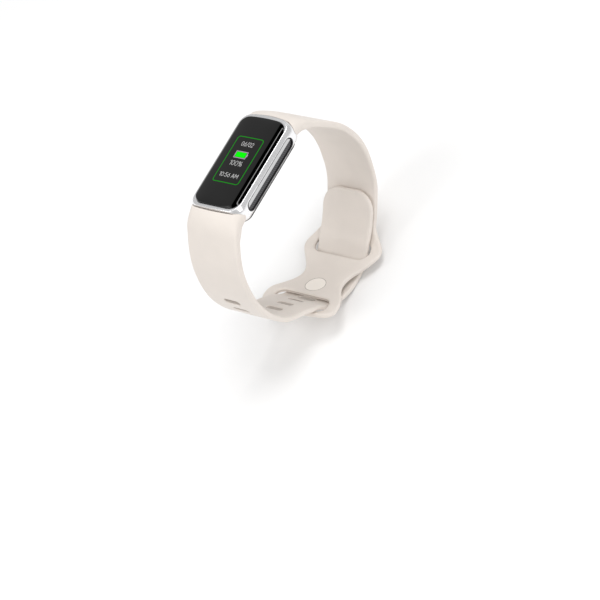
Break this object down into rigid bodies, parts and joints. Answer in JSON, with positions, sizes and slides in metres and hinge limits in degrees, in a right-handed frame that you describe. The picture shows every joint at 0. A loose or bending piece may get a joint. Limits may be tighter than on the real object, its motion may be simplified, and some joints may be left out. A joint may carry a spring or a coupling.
{
  "type": "smartwatch",
  "caption": "Slim rounded-rectangle smartwatch with curved black glass, silver metal case and a closed silicone band woven through a looped clasp.",
  "frame": {"origin": "centre of the flat sensor face on the back of the case", "axes": "+Z out of the display, +Y towards the looped upper strap, +X towards the side that is on the viewer's right with the display read upright"},
  "size_m": [0.0326, 0.0729, 0.0718],
  "materials": {
    "aluminium": "satin anodised, bright silver",
    "cover_glass": "polished black glass, opaque where printed",
    "display": "dark emissive panel",
    "seal_rubber": "matte black",
    "polyimide": "amber film",
    "sensor_die": "dark coated",
    "circuit_board": "green solder mask",
    "steel": "plain steel",
    "electrode_steel": "polished steel",
    "latch_steel": "satin steel",
    "battery_foil": "pouch foil",
    "black_plastic": "fine matte black",
    "led_lens": "clear cap",
    "gold_contact": "gold plated",
    "band_silicone": "soft matte cream silicone",
    "peg_silicone": "soft matte pale cream silicone"
  },
  "bodies": {
    "watch": {"case_frame": "aluminium", "cover_glass": "cover_glass", "display_gasket": "seal_rubber", "display_panel": "display", "display_flex": "polyimide", "light_sensor": "sensor_die", "main_board": "circuit_board", "shield_can": "steel", "battery": "battery_foil", "motor_can": "steel", "motor_sleeve": "seal_rubber", "back_cover": "black_plastic", "back_gasket": "seal_rubber", "sensor_window": "cover_glass", "sensor_board": "circuit_board", "led_green_1": "led_lens", "led_green_2": "led_lens", "led_red": "led_lens", "photodiode_1": "sensor_die", "photodiode_2": "sensor_die", "charge_contact_1": "gold_contact", "charge_contact_2": "gold_contact", "charge_magnet_1": "steel", "charge_magnet_2": "steel", "electrode_left": "electrode_steel", "electrode_right": "electrode_steel", "electrode_seal_left": "seal_rubber", "electrode_seal_right": "seal_rubber", "upper_strap": "band_silicone", "lower_strap": "band_silicone", "peg": "peg_silicone", "upper_connector": "black_plastic", "lower_connector": "black_plastic", "upper_latch_spring": "steel", "lower_latch_spring": "steel"},
    "upper_release": {"upper_latch": "latch_steel"},
    "lower_release": {"lower_latch": "latch_steel"},
    "motor_rotor": {"motor_weight": "steel"},
    "tail": {"strap_tail": "band_silicone"}
  },
  "joints": [
    {"name": "upper_latch_press", "type": "slide", "parent": "watch", "child": "upper_release", "axis": [0, 0, 1], "range_m": [0, 0.0007], "stiffness_N_per_m": 150, "springref_m": -0.001, "deforming": ["upper_latch_spring"]},
    {"name": "lower_latch_press", "type": "slide", "parent": "watch", "child": "lower_release", "axis": [0, 0, 1], "range_m": [0, 0.0007], "stiffness_N_per_m": 150, "springref_m": -0.001, "deforming": ["lower_latch_spring"]},
    {"name": "motor_spin", "type": "hinge", "parent": "watch", "child": "motor_rotor", "pos_m": [0, 0.0106, 0.00485], "axis": [1, 0, 0], "continuous": true},
    {"name": "tail_bend", "type": "hinge", "parent": "watch", "child": "tail", "pos_m": [0, 0.01492, -0.05383], "axis": [1, 0, 0], "range_deg": [0, 35], "stiffness_Nm_per_rad": 0.02}
  ]
}
